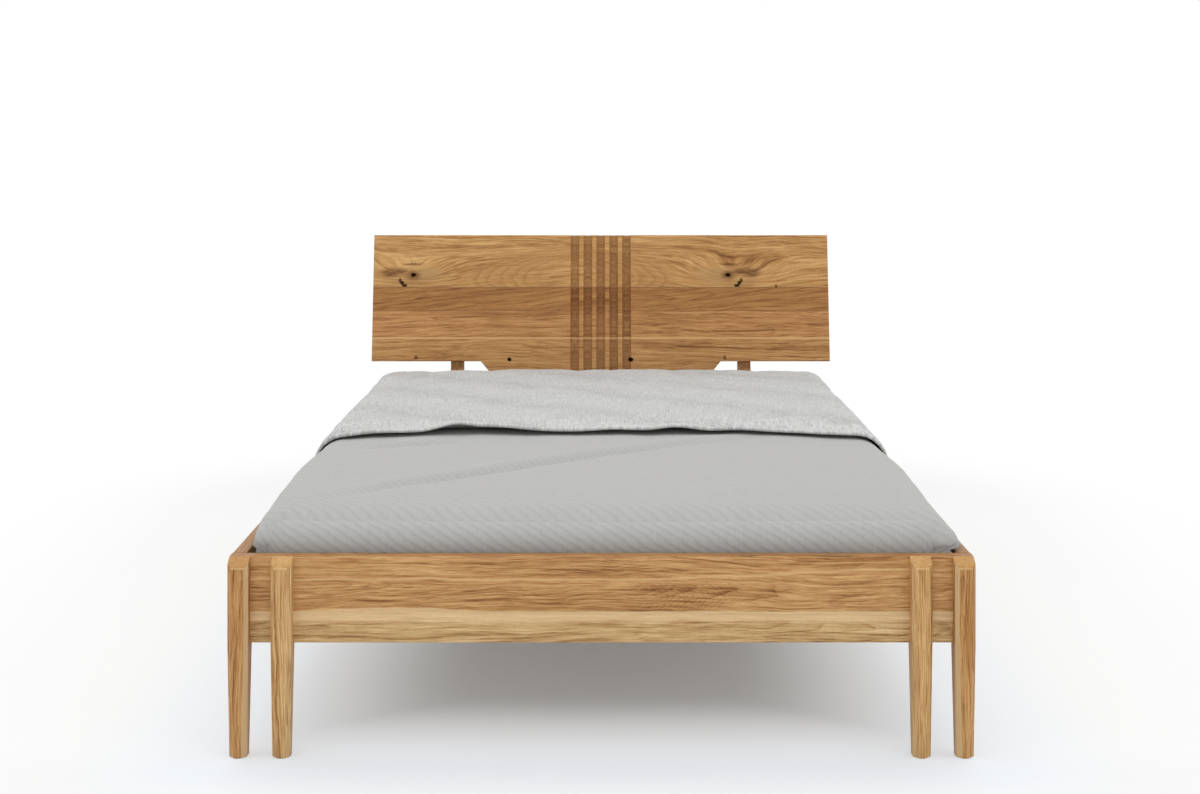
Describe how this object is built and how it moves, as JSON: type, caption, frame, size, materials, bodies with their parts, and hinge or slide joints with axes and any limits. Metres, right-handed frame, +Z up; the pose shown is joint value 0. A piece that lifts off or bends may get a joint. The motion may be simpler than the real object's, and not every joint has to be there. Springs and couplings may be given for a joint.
{
  "type": "panel bed",
  "caption": "Low double bed in oiled oak with paired lapped legs, a leaning headboard with round vertical flutes, a slatted base, a mattress and two covers.",
  "frame": {"origin": "on the floor, below the middle of the whole bed", "axes": "+X to the right seen from the foot end, +Y from the foot towards the headboard, +Z up"},
  "size_m": [1.5, 2.2149, 0.9241],
  "materials": {
    "oiled_oak": "oiled, satin, open grain",
    "plain_pine": "planed, untreated",
    "coated_steel": "powder coated, matte",
    "zinc_steel": "zinc plated",
    "webbing": "woven polyester",
    "black_plastic": "moulded",
    "ticking": "knitted",
    "grey_cover": "fine diagonal twill",
    "linen_cover": "coarse washed linen"
  },
  "bodies": {
    "frame": {"headboard_panel": "oiled_oak", "headboard_post_left": "oiled_oak", "headboard_post_right": "oiled_oak", "head_rail": "oiled_oak", "foot_rail": "oiled_oak", "side_rail_left": "oiled_oak", "side_rail_right": "oiled_oak", "foot_leg_outer_left": "oiled_oak", "foot_leg_inner_left": "oiled_oak", "foot_leg_inner_right": "oiled_oak", "foot_leg_outer_right": "oiled_oak", "head_leg_outer_left": "oiled_oak", "head_leg_inner_left": "oiled_oak", "head_leg_inner_right": "oiled_oak", "head_leg_outer_right": "oiled_oak", "slat_ledger_left": "plain_pine", "slat_ledger_right": "plain_pine", "centre_beam": "plain_pine", "centre_leg": "plain_pine", "slat_01": "plain_pine", "slat_02": "plain_pine", "slat_03": "plain_pine", "slat_04": "plain_pine", "slat_05": "plain_pine", "slat_06": "plain_pine", "slat_07": "plain_pine", "slat_08": "plain_pine", "slat_09": "plain_pine", "slat_10": "plain_pine", "slat_11": "plain_pine", "slat_12": "plain_pine", "slat_13": "plain_pine", "slat_14": "plain_pine", "corner_bracket_foot_left": "coated_steel", "corner_bracket_foot_right": "coated_steel", "corner_bracket_head_left": "coated_steel", "corner_bracket_head_right": "coated_steel", "beam_hanger_foot": "coated_steel", "beam_hanger_head": "coated_steel", "leg_screws_foot": "zinc_steel", "leg_screws_head": "zinc_steel", "bracket_screws": "zinc_steel", "ledger_screws": "zinc_steel", "hanger_screws": "zinc_steel", "headboard_screws": "zinc_steel", "post_bolts": "zinc_steel", "post_barrel_nuts": "zinc_steel", "centre_leg_stud": "zinc_steel", "slat_strap_left": "webbing", "slat_strap_right": "webbing", "centre_leg_adjuster": "black_plastic"},
    "mattress": {"mattress": "ticking", "bed_cover": "grey_cover", "turned_cover": "linen_cover"}
  },
  "joints": [
    {"name": "mattress_lift", "type": "slide", "parent": "frame", "child": "mattress", "axis": [0, 0, 1], "range_m": [0, 0.4]}
  ]
}
